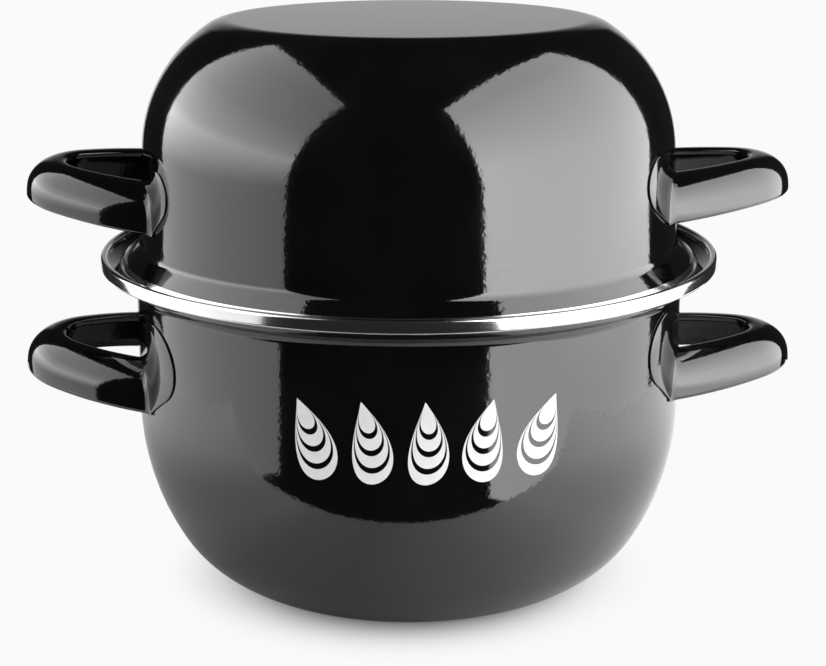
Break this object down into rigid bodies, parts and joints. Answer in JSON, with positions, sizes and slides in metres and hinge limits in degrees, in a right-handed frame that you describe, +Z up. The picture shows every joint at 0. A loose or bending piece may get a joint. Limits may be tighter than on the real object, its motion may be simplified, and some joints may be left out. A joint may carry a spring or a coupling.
{
  "type": "mussel pot",
  "caption": "Round enamelled mussel pot with a flared steel-banded rim, looped side handles and a deep domed lid that turns over to hold the shells.",
  "frame": {"origin": "middle of the pot's flat base, on the surface it stands on", "axes": "+Z up through the middle of the lid, X through the handles, -Y to the front"},
  "size_m": [0.2894, 0.2296, 0.2129],
  "materials": {
    "enamel": "glossy black vitreous enamel on steel",
    "handle_enamel": "glossy black vitreous enamel on pressed steel",
    "rim_steel": "polished stainless steel"
  },
  "bodies": {
    "root": {"pot_body": "enamel", "pot_rim_band": "rim_steel", "pot_handle_left": "handle_enamel", "pot_handle_right": "handle_enamel", "lid_body": "enamel", "lid_rim_band": "rim_steel", "lid_handle_left": "handle_enamel", "lid_handle_right": "handle_enamel"}
  },
  "joints": []
}
